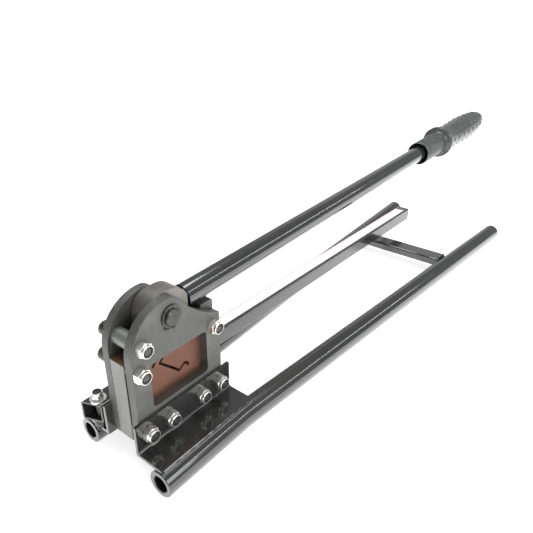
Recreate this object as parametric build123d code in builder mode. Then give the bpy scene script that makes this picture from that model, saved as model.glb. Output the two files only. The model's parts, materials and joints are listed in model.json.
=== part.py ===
"""Manual lever shear for thin profile strips, on a V-shaped tube base with a swing-out ruler bar.

Frame: X runs along the head towards the lever's grip, Y across it (the near side is -Y), Z is up.
Stations along X are counted from the front ends of the base tubes; front_x puts the origin at the
middle of the whole object, on the surface that it stands on.
"""
from build123d import *
from math import cos, degrees, pi, radians, sin, tan
import os

os.makedirs("parts", exist_ok=True)

# ---- Base: two bent round tubes, a cross bar and two angle brackets ----
tube_r = 13.2
tube_bore_r = 8.2
tube_front = 110.0  # front end to the middle of the bend
tube_rear = 634.0  # middle of the bend to the rear end
tube_spacing = 100.0  # between the two axes, where they run level with the head
tube_splay = radians(4.05)  # each tube, behind the bend
tube_bend_r = 250.0
cross_x = 549.0
cross_width = 27.0
cross_height = 12.0
cross_top = 25.0
cross_wall = 2.0
cross_end_inset = 9.0  # from a tube's axis to the cut end, which is shaped to the tube
bracket_x = 1.0
bracket_length = 118.5
bracket_t = 3.0
bracket_top = 59.0
flange_edge = 52.0  # half the width over both flanges

# ---- Head: two side plates with the shear between them ----
plate_t = 9.0
plate_gap = 21.0
plate_front = 7.5
plate_rear = 111.5
plate_bottom = 31.5
dome_r = 43.5
crown_r = 16.0
crown_turn = 55.0  # degrees
shoulder_end = (101.5, 126.5)
shoulder_corner = (plate_rear, 122.5)
window = (25.5, 64.0, 93.0, 110.0)  # x and z of the lower front and the upper rear corner
window_r = 4.0
tie_r = 7.5
bolt_r = 4.0
hole_r = 4.2
upper_bolts = [(19.0, 132.0), (14.5, 108.0), (101.5, 111.7)]
bracket_bolts = [(14.2, 46.0), (38.9, 46.0), (78.4, 46.0), (103.2, 46.0)]

# ---- Cam, lever and grip ----
pin_x = 52.7
pin_z = 145.6
pin_r = 8.0
pin_end = 23.5  # half the pin's length
groove_r = 7.5
clip_t = 1.4
clip_play = 0.1
clip_outer_r = 10.6
clip_offset = 0.8  # the clip's outer circle sits off the pin's centre, away from its gap
clip_turn = radians(258)  # the clips open downwards
clip_reach = 9.6  # pin to the middle of an ear
ear_half_span = 3.6
ear_r = 2.3
ear_hole_r = 0.9
ear_gap = (8.0, 3.4)
bush_r = 10.5
cam_width = 19.4
cam_heel_r = 19.0
cam_reach = 34.0  # pin to the lowest face of the cam, lever down
cam_rear = 29.5
cam_crest = 8.0  # length of the flat on top, behind the pin
cam_shoulder = 5.0  # height of the rear face over the pin
cam_heel = (19.0, 29.5)  # where the rear chamfer ends, behind and below the pin
cam_chin = 17.0  # where it starts, below the pin
lever_swing = 75.0  # degrees
die_stroke = 10.0
lever_angle = 3.15  # degrees above level, lever down
lever_drop = 3.0  # the tube's axis passes this far under the pin's axis
lever_r = 11.6
lever_bore_r = 9.1
lever_start = 30.6
lever_end = 776.0
stud_r = 6.0
stud_start = 14.2
stud_length = 30.0
stud_plug_start = 31.2
stud_plug_end = 57.0
grip_start = 533.0
grip_flange = 606.0
grip_flange_rear = 616.0
grip_end = 797.0
grip_collar_r = 17.4
grip_flange_r = 24.4
mouth_depth = 7.0
mouth_wall = 1.2
grip_body = [(632.0, 20.8), (648.0, 19.6), (685.0, 20.9), (718.0, 21.6), (750.0, 20.6)]
grip_dome = [(776.0, 17.0), (790.0, 10.8), (grip_end, 0.0)]

# ---- Dies, guides and springs between the plates ----
guide_gap = 3.0  # between the front guide bar and the near plate
guide_top = 114.0
stop_top = 133.0
stop_front = 95.5
die_split = -0.5  # Y of the shear plane
die_play = 0.3
fixed_die_top = 110.0
moving_die_bottom = 58.0
spring_block_top = 52.0
pocket_floor = 36.0
pocket_r = 3.8
spring_r = 2.8
wire_r = 0.5
spring_turns = 7
spring_stations = [52.0, 66.0]
slit_width = 2.6
slit_path = [(34.7, 97.4), (38.6, 102.6), (43.6, 105.2), (47.6, 102.2), (43.3, 97.7)]
slit_path += [(64.8, 76.7), (71.6, 81.3), (74.7, 80.1), (76.3, 76.1)]

# ---- Ruler bar and its upright pivot ----
bar_size = 20.0
bar_wall = 1.6
bar_near_face = 24.2
bar_bottom = 38.1
bar_front = -7.4  # far corner of the oblique front end
bar_front_near = 0.5
bar_end = 641.0
pivot_x = 4.5
tape_start = 60.0
tape_end = 628.0
tape_width = 15.0
tape_t = 0.25
plug_depth = 12.0

# ---- Fasteners ----
nut_flats = 13.0
lock_nut_height = 9.5
lock_nut_hex = 6.5
collar_r = 6.1
insert_r = 5.2
insert_depth = 2.0
insert_sink = 0.3
bolt_stickout = 9.0
cap_r = 6.8
cap_height = 10.0
cap_round = 1.4
sink_r = 8.0
shank_chamfer = 0.8
socket_flats = 6.0
socket_depth = 3.6
pivot_bolt_r = 3.0
pivot_hole_r = 3.2
pivot_head_r = 5.0
pivot_head_t = 2.0
pivot_spacer_r = 6.6
pivot_washer_r = 7.6
pivot_washer_t = 1.6
pivot_nut_flats = 10.0
pivot_nut_height = 7.4
pivot_nut_hex = 5.0
pivot_collar_r = 4.8
pivot_insert_r = 3.9
end_play = 0.1
fit = 0.04

# ---- Worked out from the above ----
lever_rise = radians(lever_angle)
grip_x = pin_x + lever_drop * sin(lever_rise) + grip_end * cos(lever_rise)
front_x = -(bar_front + grip_x) / 2
plate_out = plate_gap / 2 + plate_t
web_out = plate_out + bracket_t
cam_rate = die_stroke / radians(lever_swing)  # rise of the die for each radian of the lever
moving_die_top = pin_z - cam_reach - die_play
bar_mid = bar_near_face + bar_size / 2
bar_top = bar_bottom + bar_size
flange_top = 2 * tube_r + bracket_t


def upright(y):
    """Upright plane along the head at y; its own x and y are X and Z, its normal is -Y."""
    return Plane(origin=(front_x, y, 0), x_dir=(1, 0, 0), z_dir=(0, -1, 0))


def level(z):
    """Level plane at height z, with x counted from the front ends of the base tubes."""
    return Plane(origin=(front_x, 0, z), x_dir=(1, 0, 0), z_dir=(0, 0, 1))


lever_dir = (cos(lever_rise), 0, sin(lever_rise))
lever_origin = (
    front_x + pin_x + lever_drop * sin(lever_rise),
    0,
    pin_z - lever_drop * cos(lever_rise),
)
lever_axis = Axis(lever_origin, lever_dir)
lever_side = Plane(origin=lever_origin, x_dir=lever_dir, z_dir=(0, -1, 0))


def lever_section(station):
    """Plane square to the lever, at a distance from the pin."""
    origin = [o + d * station for o, d in zip(lever_origin, lever_dir)]
    return Plane(origin=origin, x_dir=(0, 1, 0), z_dir=lever_dir)


# ======================= Base =======================
def rear_section(side):
    """Plane square to the splayed part of a base tube, at the middle of its bend."""
    origin = (front_x + tube_front, side * tube_spacing / 2, tube_r)
    direction = (cos(tube_splay), side * sin(tube_splay), 0)
    return Plane(origin=origin, x_dir=(0, 0, 1), z_dir=direction)


for side, place in ((-1, "near"), (1, "far")):
    tube_y = side * tube_spacing / 2
    rear_end = (
        tube_front + tube_rear * cos(tube_splay),
        tube_y + side * tube_rear * sin(tube_splay),
    )
    with BuildPart() as base_tube:
        with BuildLine(level(tube_r)) as tube_axis:
            FilletPolyline((0, tube_y), (tube_front, tube_y), rear_end, radius=tube_bend_r)
        end_plane = Plane(origin=(front_x, tube_y, tube_r), x_dir=(0, 0, 1), z_dir=(1, 0, 0))
        with BuildSketch(end_plane):
            Circle(tube_r)
        sweep(path=tube_axis.wire())
        with BuildSketch(end_plane):
            Circle(tube_bore_r)
        sweep(path=tube_axis.wire(), mode=Mode.SUBTRACT)
        chamfer(base_tube.faces().filter_by(GeomType.PLANE).edges(), length=0.6)
    base_tube.part.label = f"base_tube_{place}"
    export_step(base_tube.part, f"parts/base_tube_{place}.step")

with BuildPart() as cross_bar:
    half_span = tube_spacing / 2 + (cross_x - tube_front) * tan(tube_splay) - cross_end_inset
    with BuildSketch(Plane.XZ.offset(-half_span)):
        with Locations((front_x + cross_x + cross_width / 2, cross_top - cross_height / 2)):
            RectangleRounded(cross_width, cross_height, 2.5)
            Rectangle(
                cross_width - 2 * cross_wall, cross_height - 2 * cross_wall, mode=Mode.SUBTRACT
            )
    extrude(amount=2 * half_span)
    for side in (-1, 1):
        with BuildSketch(rear_section(side)):
            Circle(tube_r)
        extrude(amount=tube_rear, mode=Mode.SUBTRACT)
cross_bar.part.label = "cross_bar"
export_step(cross_bar.part, "parts/cross_bar.step")

for side, place in ((-1, "near"), (1, "far")):
    with BuildPart() as bracket:
        angle_plane = Plane(
            origin=(front_x + bracket_x, 0, 2 * tube_r), x_dir=(0, side, 0), z_dir=(side, 0, 0)
        )
        height = bracket_top - 2 * tube_r
        with BuildSketch(angle_plane):
            with BuildLine():
                Polyline(
                    (plate_out, height),
                    (web_out, height),
                    (web_out, bracket_t),
                    (flange_edge, bracket_t),
                    (flange_edge, 0),
                    (plate_out, 0),
                    close=True,
                )
            make_face()
            root_corner = (web_out, bracket_t, 0)
            fillet(vertices().sort_by_distance(root_corner)[0], radius=2.5)
        extrude(amount=side * bracket_length)
        with BuildSketch(upright(side * web_out)):
            with Locations(*bracket_bolts):
                Circle(hole_r)
        extrude(amount=bracket_t, both=True, mode=Mode.SUBTRACT)
        if side > 0:
            with Locations(
                *[
                    Plane(
                        origin=(front_x + x, web_out, z), x_dir=(1, 0, 0), z_dir=(0, 1, 0)
                    ).location
                    for x, z in bracket_bolts
                ]
            ):
                CounterSinkHole(hole_r, sink_r + 0.1, counter_sink_angle=90)
            with BuildSketch(level(0)):
                with Locations((pivot_x, bar_mid)):
                    Circle(pivot_hole_r)
            extrude(amount=flange_top + 1, mode=Mode.SUBTRACT)
    bracket.part.label = f"bracket_{place}"
    export_step(bracket.part, f"parts/bracket_{place}.step")


# ======================= Head: plates, guides and dies =======================
crown_end = (
    plate_front + dome_r + crown_r * sin(radians(crown_turn)),
    pin_z + 18.4 - crown_r * (1 - cos(radians(crown_turn))),
)
dome_start = (plate_front, pin_z + 18.4 - dome_r)
dome_top = (plate_front + dome_r, pin_z + 18.4)

for side, place in ((-1, "near"), (1, "far")):
    with BuildPart() as side_plate:
        with BuildSketch(upright(side * plate_out)):
            with BuildLine():
                Line((plate_rear, plate_bottom), (plate_front, plate_bottom))
                Line((plate_front, plate_bottom), dome_start)
                TangentArc(dome_start, dome_top, tangent=(0, 1))
                crown = TangentArc(dome_top, crown_end, tangent=(1, 0))
                shoulder = TangentArc(crown @ 1, shoulder_end, tangent=crown % 1)
                Line(shoulder @ 1, shoulder_corner)
                Line(shoulder_corner, (plate_rear, plate_bottom))
            make_face()
            fillet(vertices().sort_by_distance((*shoulder_corner, 0))[0], radius=2.0)
            with Locations(((window[0] + window[2]) / 2, (window[1] + window[3]) / 2)):
                RectangleRounded(
                    window[2] - window[0], window[3] - window[1], window_r, mode=Mode.SUBTRACT
                )
            with Locations(*upper_bolts, *bracket_bolts):
                Circle(hole_r, mode=Mode.SUBTRACT)
            with Locations((pin_x, pin_z)):
                Circle(pin_r + fit, mode=Mode.SUBTRACT)
        extrude(amount=-plate_t if side < 0 else plate_t)
        outer_rim = side_plate.faces().sort_by(Axis.Y)[-1 if side > 0 else 0].outer_wire().edges()
        chamfer(outer_rim, length=0.5)
        if side > 0:
            with Locations(
                *[
                    Plane(
                        origin=(front_x + x, web_out, z), x_dir=(1, 0, 0), z_dir=(0, 1, 0)
                    ).location
                    for x, z in bracket_bolts
                ]
            ):
                CounterSinkHole(hole_r, sink_r + 0.1, counter_sink_angle=90)
    side_plate.part.label = f"side_plate_{place}"
    export_step(side_plate.part, f"parts/side_plate_{place}.step")


def drilled_rectangle(x_span, z_span, holes):
    """Side view of a block between the plates, with the bolt holes that cross it."""
    with BuildSketch() as profile:
        with Locations(((x_span[0] + x_span[1]) / 2, (z_span[0] + z_span[1]) / 2)):
            Rectangle(x_span[1] - x_span[0], z_span[1] - z_span[0])
        if holes:
            with Locations(*holes):
                Circle(hole_r, mode=Mode.SUBTRACT)
    return profile.sketch


inside = plate_gap / 2
guide_rear = window[0]
die_span = (guide_rear + 0.05, stop_front - 0.05)

guide_profile = drilled_rectangle(
    (plate_front, guide_rear), (plate_bottom, guide_top), [upper_bolts[1], bracket_bolts[0]]
)
with BuildPart() as front_guide_bar:
    with BuildSketch(upright(inside)):
        add(guide_profile)
    extrude(amount=plate_gap - guide_gap)
    chamfer(front_guide_bar.edges().filter_by(Axis.Z), length=0.6)
front_guide_bar.part.label = "front_guide_bar"
export_step(front_guide_bar.part, "parts/front_guide_bar.step")

with BuildPart() as guide_shims:
    with BuildSketch(upright(guide_gap - inside)):
        with Locations(upper_bolts[1], bracket_bolts[0]):
            Circle(6.0)
            Circle(hole_r, mode=Mode.SUBTRACT)
    extrude(amount=guide_gap)
guide_shims.part.label = "guide_shims"
export_step(guide_shims.part, "parts/guide_shims.step")

stop_profile = drilled_rectangle(
    (stop_front, plate_rear), (plate_bottom, stop_top), [upper_bolts[2], bracket_bolts[3]]
)
with BuildPart() as rear_stop_block:
    with BuildSketch(upright(inside)):
        add(stop_profile)
    extrude(amount=plate_gap)
    fillet(rear_stop_block.edges().filter_by(Axis.Y).group_by(Axis.Z)[-1], radius=1.5)
rear_stop_block.part.label = "rear_stop_block"
export_step(rear_stop_block.part, "parts/rear_stop_block.step")

with BuildSketch() as slit:
    with BuildLine():
        Polyline(*slit_path)
    trace(line_width=slit_width)

fixed_profile = drilled_rectangle(die_span, (plate_bottom, fixed_die_top), bracket_bolts[1:3])
with BuildPart() as fixed_die:
    with BuildSketch(upright(die_split)):
        add(fixed_profile)
        add(slit.sketch, mode=Mode.SUBTRACT)
    extrude(amount=inside + die_split)
fixed_die.part.label = "fixed_die"
export_step(fixed_die.part, "parts/fixed_die.step")

moving_span = (guide_rear + die_play, stop_front - die_play)
moving_profile = drilled_rectangle(moving_span, (moving_die_bottom, moving_die_top), [])
with BuildPart() as moving_die:
    with BuildSketch(upright(inside - die_play)):
        add(moving_profile)
        with Locations((0, -die_stroke)):
            add(slit.sketch, mode=Mode.SUBTRACT)
    extrude(amount=inside - die_play - die_split - 0.1)
moving_die.part.label = "moving_die"
export_step(moving_die.part, "parts/moving_die.step")

pocket_y = (die_split + inside) / 2
seat_profile = drilled_rectangle(die_span, (plate_bottom, spring_block_top), bracket_bolts[1:3])
with BuildPart() as spring_block:
    with BuildSketch(upright(inside)):
        add(seat_profile)
    extrude(amount=inside - die_split)
    with BuildSketch(level(pocket_floor)):
        with Locations(*[(station, pocket_y) for station in spring_stations]):
            Circle(pocket_r)
    extrude(amount=spring_block_top - pocket_floor, mode=Mode.SUBTRACT)
spring_block.part.label = "spring_block"
export_step(spring_block.part, "parts/spring_block.step")

spring_length = moving_die_bottom - pocket_floor - 2 * wire_r
for station, place in zip(spring_stations, ("front", "rear")):
    with BuildPart() as die_spring:
        foot = (front_x + station, pocket_y, pocket_floor + wire_r)
        with BuildLine() as coil:
            Helix(spring_length / spring_turns, spring_length, spring_r, center=foot)
        with BuildSketch(Plane(origin=coil.wire() @ 0, z_dir=coil.wire() % 0)):
            Circle(wire_r)
        sweep(path=coil.wire(), is_frenet=True)
    die_spring.part.label = f"die_spring_{place}"
    export_step(die_spring.part, f"parts/die_spring_{place}.step")

with BuildPart() as tie_spacer:
    with BuildSketch(upright(inside)):
        with Locations(upper_bolts[0]):
            Circle(tie_r)
            Circle(hole_r, mode=Mode.SUBTRACT)
    extrude(amount=plate_gap)
tie_spacer.part.label = "tie_spacer"
export_step(tie_spacer.part, "parts/tie_spacer.step")

# ======================= Cam, pin and lever =======================
clip_dir = Vector(cos(clip_turn), sin(clip_turn))
ear_side = Vector(-clip_dir.Y, clip_dir.X)
ear_centers = [clip_dir * clip_reach + ear_side * (ear_half_span * turn) for turn in (-1, 1)]
gap_place = Location((clip_dir.X * clip_reach, clip_dir.Y * clip_reach, 0), degrees(clip_turn))
clip_starts = (plate_out + clip_play + clip_t, -plate_out - clip_play)
with BuildPart() as cam_pin:
    with BuildSketch(upright(pin_end)):
        with Locations((pin_x, pin_z)):
            Circle(pin_r)
    extrude(amount=2 * pin_end)
    chamfer(cam_pin.edges().filter_by(GeomType.CIRCLE), length=0.8)
    for start in clip_starts:
        with BuildSketch(upright(start)):
            with Locations((pin_x, pin_z)):
                Circle(pin_r + 1)
                Circle(groove_r, mode=Mode.SUBTRACT)
        extrude(amount=clip_t, mode=Mode.SUBTRACT)
cam_pin.part.label = "cam_pin"
export_step(cam_pin.part, "parts/cam_pin.step")

with BuildPart() as pin_clips:
    for start in clip_starts:
        with BuildSketch(upright(start)):
            with Locations((pin_x, pin_z)):
                with Locations(clip_dir * -clip_offset):
                    Circle(clip_outer_r)
                with Locations(*ear_centers):
                    Circle(ear_r)
                with Locations(gap_place):
                    Rectangle(*ear_gap, mode=Mode.SUBTRACT)
                Circle(groove_r + fit / 2, mode=Mode.SUBTRACT)
                with Locations(*ear_centers):
                    Circle(ear_hole_r, mode=Mode.SUBTRACT)
        extrude(amount=clip_t)
pin_clips.part.label = "pin_clips"
export_step(pin_clips.part, "parts/pin_clips.step")


def cam_face_point(turn):
    """Point of the cam that presses the die when the lever has turned by this angle.

    The face is an involute of a circle whose radius is cam_rate, so the lowest point drops or
    rises by the same amount for each degree.
    """
    reach = cam_reach - cam_rate * turn
    return (
        pin_x - reach * sin(turn) + cam_rate * cos(turn),
        pin_z - reach * cos(turn) - cam_rate * sin(turn),
    )


cam_steps = 6
cam_face = [cam_face_point(radians(lever_swing) * i / (cam_steps - 1)) for i in range(cam_steps)]
heel_start = (pin_x - cam_heel_r, pin_z)
heel_top = (pin_x, pin_z + cam_heel_r)
cam_back = pin_x + cam_rear
with BuildPart() as cam:
    with BuildSketch(upright(cam_width / 2)):
        with BuildLine():
            Spline(*cam_face, tangents=[(-1, 0), (-sin(radians(15)), cos(radians(15)))])
            Line(cam_face[-1], heel_start)
            ThreePointArc(
                heel_start,
                (pin_x - cam_heel_r * cos(pi / 4), pin_z + cam_heel_r * sin(pi / 4)),
                heel_top,
            )
            crest = (pin_x + cam_crest, pin_z + cam_heel_r)
            back_top = (cam_back, pin_z + cam_shoulder)
            Line(heel_top, crest)
            TangentArc(crest, back_top, tangent=(1, 0))
            Polyline(
                back_top,
                (cam_back, pin_z - cam_chin),
                (pin_x + cam_heel[0], pin_z - cam_heel[1]),
                cam_face[0],
            )
        make_face()
        with Locations((pin_x, pin_z)):
            Circle(bush_r + fit / 2, mode=Mode.SUBTRACT)
    extrude(amount=cam_width)
    with BuildSketch(lever_section(stud_start - 0.2)):
        Circle(stud_r + fit / 2)
    extrude(amount=stud_length, mode=Mode.SUBTRACT)
    chamfer(cam.faces().sort_by(Axis.Y)[0].outer_wire().edges(), length=0.5)
    chamfer(cam.faces().sort_by(Axis.Y)[-1].outer_wire().edges(), length=0.5)
cam.part.label = "cam"
export_step(cam.part, "parts/cam.step")

with BuildPart() as cam_bush:
    with BuildSketch(upright(cam_width / 2)):
        with Locations((pin_x, pin_z)):
            Circle(bush_r)
            Circle(pin_r + fit, mode=Mode.SUBTRACT)
    extrude(amount=cam_width)
cam_bush.part.label = "cam_bush"
export_step(cam_bush.part, "parts/cam_bush.step")

with BuildPart() as lever_stud:
    with BuildSketch(lever_section(stud_start)):
        Circle(stud_r)
    extrude(amount=stud_length)
    with BuildSketch(lever_section(stud_plug_start)):
        Circle(lever_bore_r - fit / 2)
    extrude(amount=stud_plug_end - stud_plug_start)
lever_stud.part.label = "lever_stud"
export_step(lever_stud.part, "parts/lever_stud.step")

with BuildPart() as lever_tube:
    with BuildSketch(lever_section(lever_start)):
        Circle(lever_r)
        Circle(lever_bore_r, mode=Mode.SUBTRACT)
    extrude(amount=lever_end - lever_start)
lever_tube.part.label = "lever_tube"
export_step(lever_tube.part, "parts/lever_tube.step")

grip_bore_r = lever_r + 0.1
mouth_floor = grip_start + mouth_depth
with BuildPart() as lever_grip:
    with BuildSketch(lever_side):
        with BuildLine():
            Polyline(
                (mouth_floor, grip_bore_r),
                (mouth_floor, grip_collar_r - 2 * mouth_wall),
                (grip_start, grip_collar_r - mouth_wall / 2),
                (grip_start, grip_collar_r + mouth_wall / 2),
                (grip_start + 4.0, grip_collar_r),
                (grip_flange - 3.0, grip_collar_r),
                (grip_flange, grip_flange_r - 0.8),
                (grip_flange + 1.0, grip_flange_r),
                (grip_flange_rear, grip_flange_r),
                grip_body[0],
            )
            Spline(*grip_body, *grip_dome, tangents=[(1, -0.12), (0, -1)])
            Polyline(
                (grip_end, 0.0),
                (lever_end + 0.2, 0.0),
                (lever_end + 0.2, grip_bore_r),
                (mouth_floor, grip_bore_r),
            )
        make_face()
    revolve(axis=lever_axis)
lever_grip.part.label = "lever_grip"
export_step(lever_grip.part, "parts/lever_grip.step")


# ======================= Ruler bar =======================
with BuildPart() as ruler_bar:
    with BuildSketch(level(bar_bottom)):
        with BuildLine():
            Polyline(
                (bar_front, bar_near_face + bar_size),
                (bar_front_near, bar_near_face),
                (bar_end, bar_near_face),
                (bar_end, bar_near_face + bar_size),
                close=True,
            )
        make_face()
    extrude(amount=bar_size)
    fillet(ruler_bar.edges().filter_by(Axis.X), radius=1.8)
    with BuildSketch(Plane.YZ.offset(front_x + bar_end)):
        with Locations((bar_mid, bar_bottom + bar_size / 2)):
            Rectangle(bar_size - 2 * bar_wall, bar_size - 2 * bar_wall)
    extrude(amount=bar_front - bar_end, mode=Mode.SUBTRACT)
    with BuildSketch(level(0)):
        with Locations((pivot_x, bar_mid)):
            Circle(pivot_bolt_r + 2 * fit)
    extrude(amount=bar_top + 1, mode=Mode.SUBTRACT)
ruler_bar.part.label = "ruler_bar"
export_step(ruler_bar.part, "parts/ruler_bar.step")

with BuildPart() as ruler_end_plug:
    plug_plane = Plane.YZ.offset(front_x + bar_end - plug_depth)
    bar_center = (bar_mid, bar_bottom + bar_size / 2)
    with BuildSketch(plug_plane):
        with Locations(bar_center):
            RectangleRounded(bar_size - 2 * bar_wall - fit, bar_size - 2 * bar_wall - fit, 0.6)
    extrude(amount=plug_depth)
    with BuildSketch(plug_plane.offset(plug_depth)):
        with Locations(bar_center):
            RectangleRounded(bar_size, bar_size, 1.8)
    extrude(amount=2.5)
    fillet(ruler_end_plug.faces().sort_by(Axis.X)[-1].edges(), radius=1.2)
ruler_end_plug.part.label = "ruler_end_plug"
export_step(ruler_end_plug.part, "parts/ruler_end_plug.step")

tape_mid = bar_mid + 0.8
with BuildPart() as scale_tape:
    with BuildSketch(level(bar_top)):
        with Locations(((tape_start + tape_end) / 2, tape_mid)):
            Rectangle(tape_end - tape_start, tape_width)
    extrude(amount=tape_t)
scale_tape.part.label = "scale_tape"
export_step(scale_tape.part, "parts/scale_tape.step")

washer_bottom = bar_top + end_play
pivot_nut_bottom = washer_bottom + pivot_washer_t
pivot_nut_top = pivot_nut_bottom + pivot_nut_height
with BuildPart() as ruler_pivot_bolt:
    with BuildSketch(level(2 * tube_r - pivot_head_t)):
        with Locations((pivot_x, bar_mid)):
            Circle(pivot_head_r)
    extrude(amount=pivot_head_t)
    with BuildSketch(level(2 * tube_r)):
        with Locations((pivot_x, bar_mid)):
            Circle(pivot_bolt_r)
    extrude(amount=pivot_nut_top - insert_sink - 0.2 - 2 * tube_r)
    tip = ruler_pivot_bolt.edges().filter_by(GeomType.CIRCLE).sort_by(Axis.Z)[-1]
    chamfer(tip, length=0.6)
ruler_pivot_bolt.part.label = "ruler_pivot_bolt"
export_step(ruler_pivot_bolt.part, "parts/ruler_pivot_bolt.step")

with BuildPart() as ruler_pivot_spacer:
    with BuildSketch(level(flange_top)):
        with Locations((pivot_x, bar_mid)):
            Circle(pivot_spacer_r)
            Circle(pivot_bolt_r + fit, mode=Mode.SUBTRACT)
    extrude(amount=bar_bottom - end_play - flange_top)
    chamfer(ruler_pivot_spacer.edges().group_by(Axis.Z)[-1], length=0.5)
ruler_pivot_spacer.part.label = "ruler_pivot_spacer"
export_step(ruler_pivot_spacer.part, "parts/ruler_pivot_spacer.step")

with BuildPart() as ruler_pivot_washer:
    with BuildSketch(level(washer_bottom)):
        with Locations((pivot_x, bar_mid)):
            Circle(pivot_washer_r)
            Circle(pivot_bolt_r + fit, mode=Mode.SUBTRACT)
    extrude(amount=pivot_washer_t)
ruler_pivot_washer.part.label = "ruler_pivot_washer"
export_step(ruler_pivot_washer.part, "parts/ruler_pivot_washer.step")


# ======================= Fasteners =======================
def hex_nut(flats, thread_r, height, hex_height, top_r, seat_r):
    """Lock nut on the XY plane: flats up to hex_height, a round collar and an insert's seat."""
    corner_r = flats / 2 / cos(pi / 6)
    with BuildPart() as nut:
        with BuildSketch():
            RegularPolygon(flats / 2, 6, major_radius=False)
        extrude(amount=height)
        with BuildSketch(Plane.XZ):
            with BuildLine():
                Polyline(
                    (thread_r + fit, 0),
                    (flats / 2, 0),
                    (corner_r, 0.6),
                    (corner_r, hex_height - 0.6),
                    (flats / 2, hex_height),
                    (top_r, hex_height),
                    (top_r, height - 0.5),
                    (top_r - 0.5, height),
                    (thread_r + fit, height),
                    close=True,
                )
            make_face()
        revolve(axis=Axis.Z, mode=Mode.INTERSECT)
        with BuildSketch(Plane.XY.offset(height - insert_depth)):
            Circle(seat_r)
        extrude(amount=insert_depth, mode=Mode.SUBTRACT)
    return nut.part


def insert_ring(thread_r, height, seat_r):
    """Plastic ring in the collar of a lock nut that stands on the XY plane."""
    with BuildPart() as ring:
        with BuildSketch(Plane.XY.offset(height - insert_depth)):
            Circle(seat_r - fit / 2)
            Circle(thread_r + fit / 2, mode=Mode.SUBTRACT)
        extrude(amount=insert_depth - insert_sink)
    return ring.part


def outward(y, spots, facing):
    """Locations on the head at y, with their own z pointing out along Y (facing = -1 or +1)."""
    return [
        Plane(origin=(front_x + x, y, z), x_dir=(0, 0, 1), z_dir=(0, facing, 0)).location
        for x, z in spots
    ]


nut_places = outward(-plate_out, upper_bolts, -1) + outward(-web_out, bracket_bolts, -1)
pivot_nut_place = Location((front_x + pivot_x, bar_mid, pivot_nut_bottom))
lock_nut = hex_nut(nut_flats, bolt_r, lock_nut_height, lock_nut_hex, collar_r, insert_r)
with BuildPart() as lock_nuts:
    with Locations(*nut_places):
        add(lock_nut)
lock_nuts.part.label = "lock_nuts"
export_step(lock_nuts.part, "parts/lock_nuts.step")

small_nut = hex_nut(
    pivot_nut_flats, pivot_bolt_r, pivot_nut_height, pivot_nut_hex, pivot_collar_r, pivot_insert_r
)
with BuildPart() as ruler_pivot_nut:
    with Locations(pivot_nut_place):
        add(small_nut)
ruler_pivot_nut.part.label = "ruler_pivot_nut"
export_step(ruler_pivot_nut.part, "parts/ruler_pivot_nut.step")

nut_insert = insert_ring(bolt_r, lock_nut_height, insert_r)
small_insert = insert_ring(pivot_bolt_r, pivot_nut_height, pivot_insert_r)
with BuildPart() as nut_inserts:
    with Locations(*nut_places):
        add(nut_insert)
    with Locations(pivot_nut_place):
        add(small_insert)
nut_inserts.part.label = "nut_inserts"
export_step(nut_inserts.part, "parts/nut_inserts.step")

cap_bolt_end = -2 * plate_out - bolt_stickout
with BuildPart() as cap_bolt:
    with BuildSketch(Plane.XZ):
        with BuildLine():
            Polyline(
                (0, cap_bolt_end),
                (bolt_r - shank_chamfer, cap_bolt_end),
                (bolt_r, cap_bolt_end + shank_chamfer),
                (bolt_r, 0),
                (cap_r, 0),
                (cap_r, cap_height),
                (0, cap_height),
                close=True,
            )
        make_face()
    revolve(axis=Axis.Z)
    fillet(cap_bolt.edges().group_by(Axis.Z)[-1], radius=cap_round)
    with BuildSketch(Plane.XY.offset(cap_height)):
        RegularPolygon(socket_flats / 2, 6, major_radius=False)
    extrude(amount=-socket_depth, mode=Mode.SUBTRACT)
with BuildPart() as plate_bolts:
    with Locations(*outward(plate_out, upper_bolts, 1)):
        add(cap_bolt.part)
plate_bolts.part.label = "plate_bolts"
export_step(plate_bolts.part, "parts/plate_bolts.step")

sink_bolt_end = -2 * web_out - bolt_stickout
with BuildPart() as sink_bolt:
    with BuildSketch(Plane.XZ):
        with BuildLine():
            Polyline(
                (0, sink_bolt_end),
                (bolt_r - shank_chamfer, sink_bolt_end),
                (bolt_r, sink_bolt_end + shank_chamfer),
                (bolt_r, bolt_r - sink_r),
                (sink_r, 0),
                (0, 0),
                close=True,
            )
        make_face()
    revolve(axis=Axis.Z)
    with BuildSketch():
        RegularPolygon(socket_flats / 2, 6, major_radius=False)
    extrude(amount=-socket_depth, mode=Mode.SUBTRACT)
with BuildPart() as bracket_bolt_set:
    with Locations(*outward(web_out, bracket_bolts, 1)):
        add(sink_bolt.part)
bracket_bolt_set.part.label = "bracket_bolts"
export_step(bracket_bolt_set.part, "parts/bracket_bolts.step")
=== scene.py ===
import json
from math import cos, hypot, pi, radians, sin, sqrt

import bmesh
import bpy
from mathutils import Matrix, Vector, noise


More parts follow.
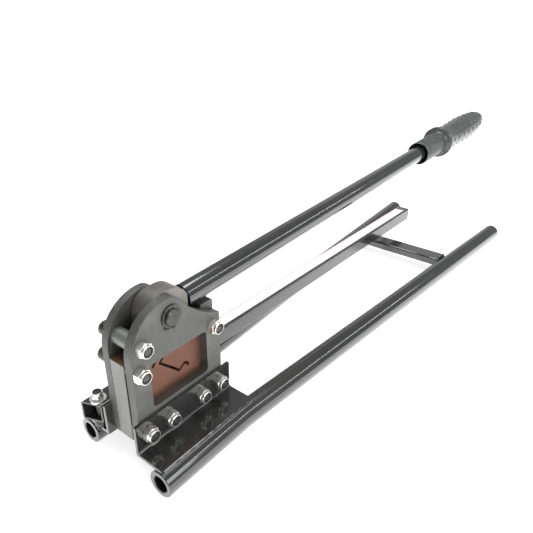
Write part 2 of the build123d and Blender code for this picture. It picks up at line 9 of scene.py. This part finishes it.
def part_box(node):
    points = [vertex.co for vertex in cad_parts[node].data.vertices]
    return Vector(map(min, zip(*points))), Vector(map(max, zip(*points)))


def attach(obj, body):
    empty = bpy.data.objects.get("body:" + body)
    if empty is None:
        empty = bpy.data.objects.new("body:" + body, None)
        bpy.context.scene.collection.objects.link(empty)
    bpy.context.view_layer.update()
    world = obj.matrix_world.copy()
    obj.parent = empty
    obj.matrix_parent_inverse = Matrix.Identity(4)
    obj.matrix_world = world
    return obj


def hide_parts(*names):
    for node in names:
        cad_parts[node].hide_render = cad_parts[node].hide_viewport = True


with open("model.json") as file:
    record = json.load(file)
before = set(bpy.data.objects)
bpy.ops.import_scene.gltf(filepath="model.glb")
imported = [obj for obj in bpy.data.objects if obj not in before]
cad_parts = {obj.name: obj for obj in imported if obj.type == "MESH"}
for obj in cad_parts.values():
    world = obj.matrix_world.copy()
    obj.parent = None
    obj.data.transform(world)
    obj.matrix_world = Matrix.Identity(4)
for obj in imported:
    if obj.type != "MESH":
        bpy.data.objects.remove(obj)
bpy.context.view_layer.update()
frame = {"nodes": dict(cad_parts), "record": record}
nodes = frame["nodes"]


# ======================= Materials =======================
class Finish:
    """A procedural finish: one Principled shader, textured in the object's own coordinates."""

    def __init__(self, name, color, **sockets):
        self.material = bpy.data.materials.new(name)
        self.material.use_nodes = True
        self.tree = self.material.node_tree
        self.shader = self.tree.nodes["Principled BSDF"]
        self.shader.inputs["Base Color"].default_value = (*color, 1)
        for socket, value in sockets.items():
            self.shader.inputs[socket.replace("_", " ")].default_value = value
        self.place = self.tree.nodes.new("ShaderNodeTexCoord").outputs["Object"]
        self.normal = None

    def node(self, kind, links, **settings):
        """A new node with its inputs linked or set, and its settings made."""
        made = self.tree.nodes.new(kind)
        for key, value in settings.items():
            setattr(made, key, value)
        for key, value in links.items():
            if isinstance(value, bpy.types.NodeSocket):
                self.tree.links.new(value, made.inputs[key])
            else:
                made.inputs[key].default_value = value
        return made

    def stretched(self, scale, turn=(0, 0, 0)):
        """The object's coordinates, stretched for a grain that runs one way."""
        links = {"Vector": self.place, "Scale": scale, "Rotation": turn}
        return self.node("ShaderNodeMapping", links).outputs["Vector"]

    def grain(self, scale, detail=3.0, rough=0.55, place=None):
        """Noise from 0 to 1 with about that many features to the metre."""
        links = {"Vector": place or self.place, "Scale": scale, "Detail": detail, "Roughness": rough}
        return self.node("ShaderNodeTexNoise", links).outputs["Fac"]

    def math(self, operation, a, b=0.0):
        """A math node on two values or sockets."""
        return self.node("ShaderNodeMath", {0: a, 1: b}, operation=operation).outputs[0]

    def ramp(self, value, low, high, to_low=0.0, to_high=1.0):
        """Value from low..high to to_low..to_high, held at both ends."""
        links = {"Value": value, "From Min": low, "From Max": high, "To Min": to_low, "To Max": to_high}
        return self.node("ShaderNodeMapRange", links).outputs["Result"]

    def blend(self, amount, a, b):
        """Colour a where the amount is 0 and b where it is 1."""
        made = self.node("ShaderNodeMix", {0: amount}, data_type="RGBA")
        for index, value in ((6, a), (7, b)):
            if isinstance(value, bpy.types.NodeSocket):
                self.tree.links.new(value, made.inputs[index])
            else:
                made.inputs[index].default_value = (*value, 1)
        return made.outputs[2]

    def color(self, value):
        """The base colour, from a socket."""
        self.tree.links.new(value, self.shader.inputs["Base Color"])

    def rough(self, value):
        """The roughness, from a socket."""
        self.tree.links.new(value, self.shader.inputs["Roughness"])

    def bump(self, height, depth, strength=1.0):
        """Adds relief of that depth, in metres."""
        links = {"Height": height, "Distance": depth, "Strength": strength}
        if self.normal is not None:
            links["Normal"] = self.normal
        self.normal = self.node("ShaderNodeBump", links).outputs["Normal"]
        self.tree.links.new(self.normal, self.shader.inputs["Normal"])


def black_enamel():
    """Glossy black paint with faint orange peel and a little dust."""
    f = Finish("black_enamel", (0.016, 0.017, 0.016), Roughness=0.2, IOR=1.62, Coat_Weight=0.7,
               Coat_Roughness=0.05, Coat_IOR=1.6)
    cloudy = f.grain(18.0, 3.0)
    f.color(f.blend(f.ramp(cloudy, 0.3, 0.7), (0.014, 0.015, 0.0145), (0.021, 0.022, 0.020)))
    f.rough(f.ramp(f.grain(30.0, 3.0, 0.5), 0.35, 0.75, 0.16, 0.24))
    f.bump(f.grain(60.0, 1.0), 0.00001, 0.2)
    return f.material


def phosphated():
    """Matte grey phosphated steel, mottled, with light rub marks on the faces."""
    f = Finish("phosphated_steel", (0.12, 0.122, 0.115), Roughness=0.45, Metallic=0.55)
    mottle = f.ramp(f.grain(160.0, 6.0, 0.7), 0.3, 0.72)
    base = f.blend(mottle, (0.088, 0.090, 0.086), (0.124, 0.126, 0.119))
    patches = f.ramp(f.grain(38.0, 4.0, 0.6), 0.45, 0.7)
    base = f.blend(f.math("MULTIPLY", patches, 0.6), base, (0.165, 0.165, 0.155))
    scratch_place = f.stretched((1.0, 1.0, 0.06), (0.0, radians(35), 0.0))
    scratches = f.ramp(f.grain(520.0, 2.0, 0.5, scratch_place), 0.68, 0.74)
    rubbed = f.math("MULTIPLY", scratches, f.ramp(f.grain(48.0), 0.52, 0.62))
    f.color(f.blend(f.math("MULTIPLY", rubbed, 0.7), base, (0.36, 0.34, 0.30)))
    f.rough(f.ramp(mottle, 0.0, 1.0, 0.38, 0.5))
    f.bump(f.grain(1500.0, 3.0), 0.00003, 0.6)
    return f.material


def machined():
    """Lighter sawn and ground steel bar, with fine upright tool lines."""
    f = Finish("ground_steel", (0.24, 0.245, 0.23), Roughness=0.42, Metallic=0.75)
    lines = f.grain(1300.0, 3.0, 0.6, f.stretched((1.0, 1.0, 0.035)))
    clouds = f.grain(55.0, 4.0, 0.6)
    base = f.blend(f.ramp(lines, 0.3, 0.7), (0.20, 0.205, 0.192), (0.30, 0.305, 0.285))
    f.color(f.blend(f.ramp(clouds, 0.45, 0.75, 0.0, 0.6), base, (0.17, 0.172, 0.160)))
    f.rough(f.ramp(lines, 0.2, 0.8, 0.34, 0.52))
    f.bump(lines, 0.00003, 0.7)
    return f.material


def guide_finish(top):
    """Ground guide bar: pale sides with upright tool lines, and its top face coloured copper-brown."""
    f = Finish("guide_steel", (0.27, 0.272, 0.255), Roughness=0.42, Metallic=0.7)
    lines = f.grain(1300.0, 3.0, 0.6, f.stretched((1.0, 1.0, 0.035)))
    base = f.blend(f.ramp(lines, 0.3, 0.7), (0.180, 0.183, 0.172), (0.265, 0.268, 0.252))
    height = f.node("ShaderNodeSeparateXYZ", {"Vector": f.place}).outputs["Z"]
    # Copper-brown colour on the top face, fading in over the top 0.6 mm of the sides.
    brown_top = f.ramp(height, top - 0.0006, top - 0.0002)
    tint = f.blend(f.ramp(f.grain(300.0, 4.0), 0.3, 0.7), (0.25, 0.13, 0.09), (0.36, 0.21, 0.15))
    f.color(f.blend(brown_top, base, tint))
    f.rough(f.ramp(lines, 0.2, 0.8, 0.34, 0.5))
    f.bump(lines, 0.00003, 0.7)
    return f.material


def cam_finish():
    """Warm grey hardened steel: turned lines along the rim, heat tint and pale scuffs."""
    f = Finish("cam_steel", (0.2, 0.19, 0.175), Roughness=0.4, Metallic=0.75)
    lines = f.grain(900.0, 3.0, 0.6, f.stretched((0.12, 1.0, 0.12)))
    tint = f.grain(30.0, 3.0, 0.6)
    base = f.blend(f.ramp(tint, 0.35, 0.7), (0.150, 0.138, 0.126), (0.24, 0.225, 0.21))
    base = f.blend(f.ramp(lines, 0.45, 0.8, 0.0, 0.35), base, (0.30, 0.29, 0.27))
    scuffs = f.ramp(f.grain(260.0, 5.0, 0.75), 0.64, 0.70)
    scuffed = f.math("MULTIPLY", scuffs, f.ramp(f.grain(70.0), 0.55, 0.63))
    f.color(f.blend(f.math("MULTIPLY", scuffed, 0.7), base, (0.45, 0.38, 0.30)))
    f.rough(f.ramp(lines, 0.2, 0.8, 0.34, 0.5))
    f.bump(lines, 0.00003, 0.6)
    return f.material


def die_finish():
    """Copper-brown die steel, dull and slightly grainy, darker in patches."""
    f = Finish("die_copper_brown", (0.24, 0.12, 0.08), Roughness=0.5, Metallic=0.6)
    fine = f.grain(900.0, 4.0, 0.7)
    patch = f.grain(40.0, 4.0, 0.6)
    base = f.blend(f.ramp(fine, 0.25, 0.75), (0.140, 0.062, 0.040), (0.225, 0.108, 0.072))
    f.color(f.blend(f.ramp(patch, 0.5, 0.75, 0.0, 0.6), base, (0.115, 0.052, 0.040)))
    f.rough(f.ramp(fine, 0.2, 0.8, 0.44, 0.6))
    f.bump(fine, 0.00004, 0.6)
    return f.material


def dark_finish():
    """Blackened steel with a faint worn shine."""
    f = Finish("blackened_steel", (0.07, 0.07, 0.066), Roughness=0.38, Metallic=0.7)
    worn = f.grain(240.0, 5.0, 0.7)
    f.color(f.blend(f.ramp(worn, 0.4, 0.75), (0.05, 0.05, 0.047), (0.14, 0.137, 0.128)))
    f.rough(f.ramp(worn, 0.3, 0.8, 0.3, 0.5))
    f.bump(f.grain(1400.0, 2.0), 0.00002, 0.6)
    return f.material


def zinc_finish():
    """Bright zinc plate with a faint warm passivation tint."""
    f = Finish("bright_zinc", (0.78, 0.76, 0.72), Roughness=0.2, Metallic=1.0)
    tint = f.grain(130.0, 3.0, 0.6)
    f.color(f.blend(f.ramp(tint, 0.35, 0.7), (0.90, 0.895, 0.88), (0.86, 0.82, 0.75)))
    f.rough(f.ramp(f.grain(500.0, 4.0, 0.6), 0.3, 0.8, 0.26, 0.38))
    f.bump(f.grain(900.0, 3.0), 0.00002, 0.5)
    return f.material


def bronze_finish():
    """Sintered bronze bush."""
    f = Finish("sintered_bronze", (0.42, 0.27, 0.13), Roughness=0.45, Metallic=0.9)
    pores = f.grain(1600.0, 3.0, 0.7)
    f.color(f.blend(f.ramp(pores, 0.3, 0.7), (0.34, 0.21, 0.10), (0.50, 0.34, 0.17)))
    f.bump(pores, 0.00003, 0.5)
    return f.material


def spring_finish():
    """Drawn spring wire."""
    f = Finish("spring_wire", (0.32, 0.32, 0.31), Roughness=0.28, Metallic=1.0)
    f.color(f.blend(f.ramp(f.grain(700.0), 0.3, 0.7), (0.26, 0.26, 0.25), (0.40, 0.40, 0.38)))
    return f.material


def rubber_finish():
    """Dark grey-green moulded rubber with a soft shine and handling dust."""
    f = Finish("grip_rubber", (0.05, 0.056, 0.052), Roughness=0.34, Specular_IOR_Level=0.7)
    f.shader.inputs["Sheen Weight"].default_value = 0.05
    f.shader.inputs["Sheen Roughness"].default_value = 0.5
    dust = f.grain(90.0, 5.0, 0.7)
    f.color(f.blend(f.ramp(dust, 0.35, 0.75), (0.046, 0.051, 0.048), (0.066, 0.072, 0.067)))
    f.rough(f.ramp(f.grain(300.0, 4.0), 0.3, 0.75, 0.22, 0.32))
    f.bump(f.grain(900.0, 1.0), 0.00001, 0.2)
    return f.material


def plastic_finish(name, color, roughness):
    """Plain moulded plastic with a fine spark-eroded surface."""
    f = Finish(name, color, Roughness=roughness)
    light = tuple(min(1.0, c * 1.5 + 0.004) for c in color)
    f.color(f.blend(f.ramp(f.grain(350.0, 4.0), 0.35, 0.75), color, light))
    f.rough(f.ramp(f.grain(500.0, 3.0), 0.3, 0.7, roughness - 0.06, roughness + 0.08))
    f.bump(f.grain(2200.0, 2.0), 0.00003, 0.5)
    return f.material


TAPE_LOW, TAPE_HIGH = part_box("scale_tape")
TAPE_ORIGIN = TAPE_LOW.x
TAPE_FAR = TAPE_HIGH.y
MM = 0.001


def tape_finish():
    """White ruler tape: faint pink divisions from its far edge, inside a thin red edge line."""
    f = Finish("ruler_tape", (0.86, 0.85, 0.83), Roughness=0.35)
    axes = f.node("ShaderNodeSeparateXYZ", {"Vector": f.place}).outputs
    along = f.math("MULTIPLY", f.math("SUBTRACT", axes["X"], TAPE_ORIGIN), 1 / MM)
    across = f.math("MULTIPLY", f.math("SUBTRACT", TAPE_FAR, axes["Y"]), 1 / MM)
    ticks = None
    for pitch, reach, width in ((1.0, 3.2, 0.22), (5.0, 5.0, 0.26), (10.0, 7.2, 0.32)):
        phase = f.math("FRACT", f.math("ADD", f.math("DIVIDE", along, pitch), 0.5))
        offset = f.math("MULTIPLY", f.math("ABSOLUTE", f.math("SUBTRACT", phase, 0.5)), pitch)
        on_mark = f.math("LESS_THAN", offset, width / 2)
        line = f.math("MULTIPLY", on_mark, f.math("LESS_THAN", across, reach))
        ticks = line if ticks is None else f.math("MAXIMUM", ticks, line)
    ticks = f.math("MULTIPLY", ticks, f.math("GREATER_THAN", across, 0.9))
    edge = f.math("LESS_THAN", across, 0.55)
    paper = f.blend(f.ramp(f.grain(60.0, 3.0), 0.4, 0.7), (0.88, 0.875, 0.86), (0.84, 0.83, 0.81))
    marked = f.blend(ticks, paper, (0.62, 0.12, 0.11))
    f.color(f.blend(edge, marked, (0.42, 0.07, 0.06)))
    f.rough(f.ramp(f.grain(200.0), 0.3, 0.7, 0.3, 0.42))
    f.bump(f.grain(900.0), 0.00001, 0.4)
    return f.material


finishes = {
    "black_paint": black_enamel(),
    "phosphated_plate": phosphated(),
    "bare_steel": machined(),
    "cam_steel": cam_finish(),
    "die_metal": die_finish(),
    "dark_steel": dark_finish(),
    "bright_zinc": zinc_finish(),
    "bush_bronze": bronze_finish(),
    "spring_steel": spring_finish(),
    "grip_rubber": rubber_finish(),
    "tape_white": tape_finish(),
    "black_plastic": plastic_finish("black_plastic", (0.018, 0.019, 0.018), 0.36),
}
for part in frame["record"]["subparts"]:
    painted = nodes[part["node"]].data.materials
    painted.clear()
    painted.append(finishes[part["material_slot"]])
nodes["front_guide_bar"].data.materials[0] = guide_finish(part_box("front_guide_bar")[1].z)


# ======================= Mesh helpers =======================
def new_piece(name, verts, faces, slot, body, smooth=True):
    """A mesh piece with a finish, riding on a body."""
    mesh = bpy.data.meshes.new(name)
    mesh.from_pydata(verts, [], faces)
    mesh.validate()
    built = bmesh.new()
    built.from_mesh(mesh)
    bmesh.ops.recalc_face_normals(built, faces=built.faces)
    built.to_mesh(mesh)
    built.free()
    for face in mesh.polygons:
        face.use_smooth = smooth
    piece = bpy.data.objects.new(name, mesh)
    bpy.context.scene.collection.objects.link(piece)
    mesh.materials.append(finishes[slot])
    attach(piece, body)
    return piece


# ======================= Grip =======================
def smooth_radius(points, station):
    """Radius at a station, from (station, radius) points joined by a smooth curve."""
    last = len(points) - 1
    index = 0
    while index < last - 1 and station > points[index + 1][0]:
        index += 1
    (s0, r0), (s1, r1) = points[index], points[index + 1]
    before = points[max(index - 1, 0)]
    after = points[min(index + 2, last)]
    slope0 = (r1 - before[1]) / (s1 - before[0])
    slope1 = (after[1] - r0) / (after[0] - s0)
    span = s1 - s0
    t = (station - s0) / span
    return (
        (2 * t**3 - 3 * t**2 + 1) * r0
        + (t**3 - 2 * t**2 + t) * span * slope0
        + (3 * t**2 - 2 * t**3) * r1
        + (t**3 - t**2) * span * slope1
    )


joints = {joint["name"]: joint for joint in frame["record"]["behaviour"]["joints"]}
PIN = Vector(joints["lever_swing"]["pos_m"])
LEVER_RISE = radians(3.15)
LEVER_DROP = 0.003
ALONG = Vector((cos(LEVER_RISE), 0, sin(LEVER_RISE)))
ACROSS = Vector((0, 1, 0))
ABOVE = Vector((-sin(LEVER_RISE), 0, cos(LEVER_RISE)))
LEVER_START = PIN - ABOVE * LEVER_DROP

GRIP_START, GRIP_FLANGE, GRIP_FLANGE_REAR, GRIP_END = 0.5332, 0.606, 0.616, 0.7968
TUBE_R = 0.0117
TUBE_END = 0.7762
MOUTH_FLOOR = 0.556
COLLAR_R, FLANGE_R = 0.0173, 0.0243
RIBS = 40
RIB_DEPTH = 0.0010
DOT_ROWS, DOTS_IN_ROW = 8, 7
DOT_START, DOT_PITCH = 0.638, 0.0205
DOT_R, DOT_HEIGHT = 0.0036, 0.0012
BODY = [(0.616, 0.0224), (0.632, 0.0201), (0.648, 0.0191), (0.685, 0.0201), (0.718, 0.0205),
        (0.750, 0.0193), (0.773, 0.0170), (0.785, 0.0142)]


def dot_rise(station, turn, radius):
    """Height of the raised dots at a point of the grip's body."""
    row = round(turn / (2 * pi) * DOT_ROWS)
    aside = (turn - row * 2 * pi / DOT_ROWS) * radius
    shift = 0.5 * (row % 2)
    index = min(max(round((station - DOT_START) / DOT_PITCH - shift), 0), DOTS_IN_ROW - 1)
    away = hypot(station - DOT_START - (index + shift) * DOT_PITCH, aside) / DOT_R
    if away >= 1:
        return 0.0
    return DOT_HEIGHT * sqrt(1 - away**3)


def grip_mesh():
    """Moulded grip: a dark mouth, a ribbed collar, a flange, and a swelling body with dots."""
    segments = 5 * RIBS
    collar_front = GRIP_START + 0.004
    rings = [(TUBE_END, TUBE_R, None), (MOUTH_FLOOR, TUBE_R, None)]
    rings += [(MOUTH_FLOOR, COLLAR_R - 0.0030, None), (GRIP_START + 0.001, COLLAR_R - 0.0016, None)]
    rings += [(GRIP_START, COLLAR_R - 0.0009, None), (GRIP_START + 0.0007, COLLAR_R - 0.0001, None)]
    rings += [(collar_front, COLLAR_R, None), (collar_front + 0.0015, COLLAR_R, "ribs")]
    rings += [(GRIP_FLANGE - 0.005, COLLAR_R, "ribs"), (GRIP_FLANGE - 0.003, COLLAR_R, None)]
    rings += [(GRIP_FLANGE, COLLAR_R + 0.0006, None), (GRIP_FLANGE + 0.0006, FLANGE_R - 0.0008, None)]
    rings += [(GRIP_FLANGE + 0.0014, FLANGE_R, None), (GRIP_FLANGE_REAR - 0.0015, FLANGE_R, None)]
    body_end = BODY[-1][0]
    steps = int((body_end - GRIP_FLANGE_REAR) / 0.0009)
    for step in range(steps + 1):
        station = GRIP_FLANGE_REAR + (body_end - GRIP_FLANGE_REAR) * step / steps
        rings.append((station, smooth_radius(BODY, station), "dots"))
    dome_r = BODY[-1][1]
    for step in range(1, 8):
        turn = radians(90) * step / 8
        station = body_end + (GRIP_END - body_end) * sin(turn)
        rings.append((station, dome_r * cos(turn), None))
    verts = [LEVER_START + ALONG * TUBE_END]
    for station, radius, relief in rings:
        for segment in range(segments):
            turn = 2 * pi * segment / segments
            out = radius
            if relief == "ribs":
                out -= RIB_DEPTH * (0.5 - 0.5 * cos(RIBS * turn))
            if relief == "dots":
                out += dot_rise(station, turn, radius)
            rim = ACROSS * cos(turn) + ABOVE * sin(turn)
            verts.append(LEVER_START + ALONG * station + rim * out)
    verts.append(LEVER_START + ALONG * GRIP_END)
    faces = []
    for segment in range(segments):
        after = (segment + 1) % segments
        faces.append((0, 1 + after, 1 + segment))
        for ring in range(len(rings) - 1):
            first = 1 + ring * segments
            faces.append((first + segment, first + after, first + segments + after,
                          first + segments + segment))
        last = 1 + (len(rings) - 1) * segments
        faces.append((last + segment, last + after, len(verts) - 1))
    return verts, faces


grip = new_piece("grip_moulded", *grip_mesh(), "grip_rubber", "lever")
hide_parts("lever_grip")


# ======================= Weld beads =======================
def bead_mesh(start, end, radius, seed):
    """Painted weld bead: a slightly uneven rod with rounded ends."""
    start, end = Vector(start), Vector(end)
    along = (end - start).normalized()
    side = along.cross(Vector((0, 0, 1))).normalized()
    rise = side.cross(along)
    length = (end - start).length
    around, steps = 16, max(12, int(length / 0.002))
    verts, faces = [], []
    for step in range(steps + 1):
        share = (step + 0.5) / (steps + 1)
        place = length * share
        tip = min(place, length - place)
        taper = sqrt(max(0.04, 1 - (1 - min(tip / radius, 1)) ** 2))
        uneven = 1 + 0.07 * noise.noise(Vector((place * 170 + seed, seed, 0)))
        for segment in range(around):
            turn = 2 * pi * segment / around
            rim = side * cos(turn) + rise * sin(turn)
            verts.append(start + along * place + rim * radius * taper * uneven)
    for step in range(steps):
        for segment in range(around):
            after = (segment + 1) % around
            first = step * around
            faces.append((first + segment, first + after, first + around + after, first + around + segment))
    faces.append(tuple(range(around)))
    faces.append(tuple(steps * around + segment for segment in range(around)))
    return verts, faces


BEAD_R = 0.0027
CROSS_BEAD_R = 0.0022
TUBE_LOW, TUBE_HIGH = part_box("base_tube_far")
BRACKET_LOW, BRACKET_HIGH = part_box("bracket_far")
CROSS_LOW, CROSS_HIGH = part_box("cross_bar")
TUBE_SPLAY = radians(4.05)
for side, place in ((-1, "near"), (1, "far")):
    edge = side * (BRACKET_HIGH.y + 0.0006)
    top = TUBE_HIGH.z + 0.0001
    ends = (BRACKET_LOW.x - 0.0006, edge, top), (BRACKET_HIGH.x + 0.001, edge, top)
    new_piece(f"weld_flange_{place}", *bead_mesh(*ends, BEAD_R, 3 + side), "black_paint", "frame")
    cross_y = CROSS_HIGH.y - 0.0005
    near_end = (CROSS_LOW.x, side * (cross_y - (CROSS_HIGH.x - CROSS_LOW.x) * sin(TUBE_SPLAY)))
    far_end = (CROSS_HIGH.x, side * cross_y)
    ends = [(x, y, CROSS_HIGH.z - 0.0012) for x, y in (near_end, far_end)]
    new_piece(f"weld_cross_{place}", *bead_mesh(*ends, CROSS_BEAD_R, 9 + side), "black_paint", "frame")


# ======================= Lights, floor and camera =======================
def area_light(name, place, target, size, watts, tint=(1, 1, 1)):
    data = bpy.data.lights.new(name, "AREA")
    data.shape = "RECTANGLE"
    data.size, data.size_y = size
    data.energy = watts
    data.color = tint
    lamp = bpy.data.objects.new(name, data)
    lamp.location = place
    lamp.rotation_euler = (Vector(target) - Vector(place)).to_track_quat("-Z", "Y").to_euler()
    bpy.context.scene.collection.objects.link(lamp)
    return lamp


area_light("softbox_top", (0.1, 0.3, 2.2), (0, 0, 0), (1.6, 1.2), 44)
area_light("softbox_near", (-0.2, -2.0, 1.2), (0, 0, 0.05), (2.0, 0.9), 20)
area_light("softbox_rear", (1.9, 1.0, 1.1), (0, 0, 0.05), (1.2, 1.4), 1.5)
area_light("strip_near", (0.2, -1.3, 1.15), (0, 0, 0.08), (3.4, 0.09), 9)

world = bpy.data.worlds.new("studio_air")
world.use_nodes = True
world.node_tree.nodes["Background"].inputs["Color"].default_value = (0.93, 0.96, 0.95, 1)
world.node_tree.nodes["Background"].inputs["Strength"].default_value = 0.36
bpy.context.scene.world = world

SWEEP_FRONT, SWEEP_BACK, SWEEP_R, SWEEP_TOP, SWEEP_HALF = -4.0, 40.0, 1.0, 2.0, 40.0


def backdrop():
    """A white paper sweep: flat floor that curves up into a wall behind the object."""
    heading = radians(38.0)
    profile = [(SWEEP_FRONT, 0.0)]
    for step in range(13):
        turn = radians(90) * step / 12
        profile.append((SWEEP_BACK + SWEEP_R * sin(turn), SWEEP_R * (1 - cos(turn))))
    profile.append((SWEEP_BACK + SWEEP_R, SWEEP_TOP))
    verts, faces = [], []
    for away, up in profile:
        for side in (-SWEEP_HALF, SWEEP_HALF):
            x = away * cos(heading) + side * sin(heading)
            y = away * sin(heading) - side * cos(heading)
            verts.append((x, y, up - 0.0002))
    for i in range(len(profile) - 1):
        faces.append((2 * i, 2 * i + 1, 2 * i + 3, 2 * i + 2))
    mesh = bpy.data.meshes.new("paper_sweep")
    mesh.from_pydata(verts, [], faces)
    for face in mesh.polygons:
        face.use_smooth = True
    sweep = bpy.data.objects.new("paper_sweep", mesh)
    bpy.context.scene.collection.objects.link(sweep)
    paper = Finish("white_paper", (0.9, 0.9, 0.9), Roughness=0.9)
    paper.shader.inputs["Emission Color"].default_value = (1, 1, 1, 1)
    paper.shader.inputs["Emission Strength"].default_value = 0.72
    mesh.materials.append(paper.material)


backdrop()

CAMERA_PLACE = (-0.6087, -0.3096, 0.3855)
CAMERA_HEADING = radians(38.240)
CAMERA_DIP = radians(27.493)
CAMERA_ROLL = radians(0.725)


def make_camera():
    level = Vector((cos(CAMERA_HEADING), sin(CAMERA_HEADING), 0))
    side = Vector((sin(CAMERA_HEADING), -cos(CAMERA_HEADING), 0))
    ahead = level * cos(CAMERA_DIP) - Vector((0, 0, sin(CAMERA_DIP)))
    over = level * sin(CAMERA_DIP) + Vector((0, 0, cos(CAMERA_DIP)))
    right = side * cos(CAMERA_ROLL) + over * sin(CAMERA_ROLL)
    up = over * cos(CAMERA_ROLL) - side * sin(CAMERA_ROLL)
    data = bpy.data.cameras.new("camera")
    data.lens = 35.039
    data.sensor_width = 36.0
    data.shift_x = 0.0030
    data.shift_y = 0.0014
    data.clip_start, data.clip_end = 0.01, 60.0
    camera = bpy.data.objects.new("camera", data)
    turn = Matrix((right, up, -ahead)).transposed().to_4x4()
    camera.matrix_world = Matrix.Translation(CAMERA_PLACE) @ turn
    bpy.context.scene.collection.objects.link(camera)
    bpy.context.scene.camera = camera


make_camera()
bpy.context.scene.view_settings.view_transform = "Standard"
bpy.context.scene.view_settings.look = "None"
